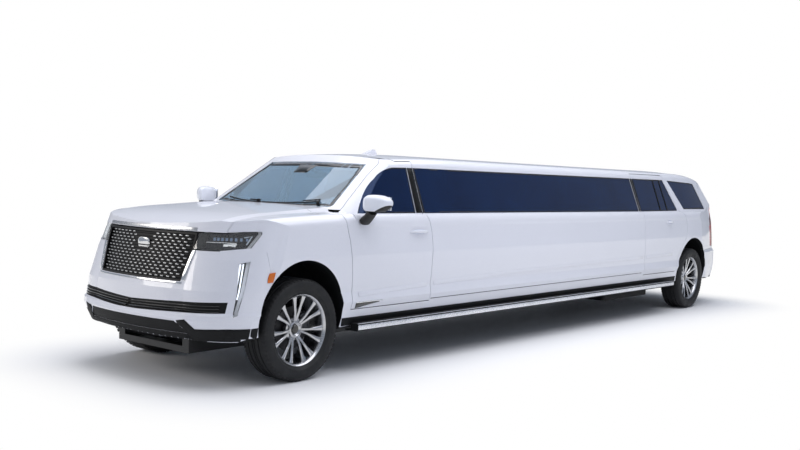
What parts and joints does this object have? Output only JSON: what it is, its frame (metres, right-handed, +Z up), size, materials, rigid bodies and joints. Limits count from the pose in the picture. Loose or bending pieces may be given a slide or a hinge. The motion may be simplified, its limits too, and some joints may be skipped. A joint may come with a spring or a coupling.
{
  "type": "stretch limousine",
  "caption": "Stretched four-door luxury sport-utility limousine on steel ladder frame, with opening doors, bonnet and tailgate, steering and rolling wheels.",
  "frame": {"origin": "on the ground under the middle of the car, at the bottom centre of its box", "axes": "+X forward along the car, +Y to its left, +Z up"},
  "size_m": [9.95, 2.46, 1.9499],
  "materials": {
    "body_paint": "white pearl gloss paint under clear lacquer",
    "black_plastic": "grained black moulded plastic",
    "grille_black": "gloss black moulding with bright inserts",
    "board_trim": "black step with a bright outer strip",
    "clear_glass": "laminated clear glass, slightly green",
    "privacy_glass": "dark tinted privacy glass",
    "lamp_cover": "clear moulded lamp cover",
    "lamp_body": "dark lamp housing with bright reflectors",
    "tail_lamp_cover": "deep red moulded lamp cover",
    "tyre_rubber": "black tyre rubber",
    "polished_alloy": "polished cast alloy",
    "chassis_paint": "black chassis paint",
    "underbody_paint": "dark underbody coating",
    "cast_metal": "cast iron",
    "engine_metal": "cast block, plain",
    "exhaust_steel": "stainless steel tube",
    "dash_plastic": "soft moulded dark plastic",
    "seat_leather": "black stitched leather",
    "cabin_wood": "dark lacquered veneer"
  },
  "bodies": {
    "root": {"chassis_frame": "chassis_paint", "floor_pan": "underbody_paint", "roof_panel": "body_paint", "side_panels": "body_paint", "front_wings": "body_paint", "rear_quarters": "body_paint", "cowl_panel": "black_plastic", "windscreen": "clear_glass", "side_glass": "privacy_glass", "front_bumper": "body_paint", "rear_bumper": "body_paint", "radiator_grille": "grille_black", "lower_grilles": "black_plastic", "front_lamps": "lamp_body", "front_lamp_covers": "lamp_cover", "tail_lamps": "tail_lamp_cover", "running_boards": "board_trim", "roof_antenna": "body_paint", "arch_liners": "black_plastic", "dashboard": "dash_plastic", "front_seats": "seat_leather", "lounge_seats": "seat_leather", "partition": "cabin_wood", "bar_cabinet": "cabin_wood", "engine_block": "engine_metal", "exhaust_system": "exhaust_steel", "propeller_shaft": "chassis_paint", "fuel_tank": "black_plastic", "front_suspension": "cast_metal", "rear_axle": "cast_metal"},
    "left_front_door": {"left_front_door": "body_paint", "left_front_door_glass": "privacy_glass", "left_door_mirror": "black_plastic"},
    "right_front_door": {"right_front_door": "body_paint", "right_front_door_glass": "privacy_glass", "right_door_mirror": "black_plastic"},
    "left_rear_door": {"left_rear_door": "body_paint", "left_rear_door_glass": "privacy_glass"},
    "right_rear_door": {"right_rear_door": "body_paint", "right_rear_door_glass": "privacy_glass"},
    "bonnet": {"bonnet": "body_paint"},
    "tailgate": {"tailgate": "body_paint", "tailgate_glass": "privacy_glass"},
    "left_knuckle": {"left_front_knuckle": "cast_metal"},
    "right_knuckle": {"right_front_knuckle": "cast_metal"},
    "front_left_wheel": {"front_left_tyre": "tyre_rubber", "front_left_wheel": "polished_alloy"},
    "front_right_wheel": {"front_right_tyre": "tyre_rubber", "front_right_wheel": "polished_alloy"},
    "rear_left_wheel": {"rear_left_tyre": "tyre_rubber", "rear_left_wheel": "polished_alloy"},
    "rear_right_wheel": {"rear_right_tyre": "tyre_rubber", "rear_right_wheel": "polished_alloy"},
    "steering_wheel": {"steering_wheel": "dash_plastic"}
  },
  "joints": [
    {"name": "left_steering", "type": "hinge", "parent": "root", "child": "left_knuckle", "pos_m": [3.99, 0.8, 0.417], "axis": [0, 0, 1], "range_deg": [-33, 33]},
    {"name": "right_steering", "type": "hinge", "parent": "root", "child": "right_knuckle", "pos_m": [3.99, -0.8, 0.417], "axis": [0, 0, 1], "range_deg": [-33, 33]},
    {"name": "steering_wheel_turn", "type": "hinge", "parent": "root", "child": "steering_wheel", "pos_m": [2.86, 0.4, 1.13], "axis": [-0.9063, 0, 0.4226], "range_deg": [-464, 464]},
    {"name": "front_left_wheel_spin", "type": "hinge", "parent": "left_knuckle", "child": "front_left_wheel", "pos_m": [3.99, 0.87, 0.417], "axis": [0, 1, 0], "continuous": true},
    {"name": "front_right_wheel_spin", "type": "hinge", "parent": "right_knuckle", "child": "front_right_wheel", "pos_m": [3.99, -0.87, 0.417], "axis": [0, 1, 0], "continuous": true},
    {"name": "rear_left_wheel_spin", "type": "hinge", "parent": "root", "child": "rear_left_wheel", "pos_m": [-3.65, 0.87, 0.417], "axis": [0, 1, 0], "continuous": true},
    {"name": "rear_right_wheel_spin", "type": "hinge", "parent": "root", "child": "rear_right_wheel", "pos_m": [-3.65, -0.87, 0.417], "axis": [0, 1, 0], "continuous": true},
    {"name": "left_front_door_hinge", "type": "hinge", "parent": "root", "child": "left_front_door", "pos_m": [3.536, 1.033, 0.9], "axis": [0, 0, -1], "range_deg": [0, 65]},
    {"name": "right_front_door_hinge", "type": "hinge", "parent": "root", "child": "right_front_door", "pos_m": [3.536, -1.033, 0.9], "axis": [0, 0, 1], "range_deg": [0, 65]},
    {"name": "left_rear_door_hinge", "type": "hinge", "parent": "root", "child": "left_rear_door", "pos_m": [-1.904, 1.033, 0.9], "axis": [0, 0, -1], "range_deg": [0, 68]},
    {"name": "right_rear_door_hinge", "type": "hinge", "parent": "root", "child": "right_rear_door", "pos_m": [-1.904, -1.033, 0.9], "axis": [0, 0, 1], "range_deg": [0, 68]},
    {"name": "bonnet_hinge", "type": "hinge", "parent": "root", "child": "bonnet", "pos_m": [3.66, 0, 1.403], "axis": [0, -1, 0], "range_deg": [0, 48]},
    {"name": "tailgate_hinge", "type": "hinge", "parent": "root", "child": "tailgate", "pos_m": [-4.27, 0, 1.857], "axis": [0, 1, 0], "range_deg": [0, 80]}
  ],
  "couplings": [
    {"joint": "right_steering", "follows": "left_steering", "ratio": 1},
    {"joint": "steering_wheel_turn", "follows": "left_steering", "ratio": 14}
  ]
}
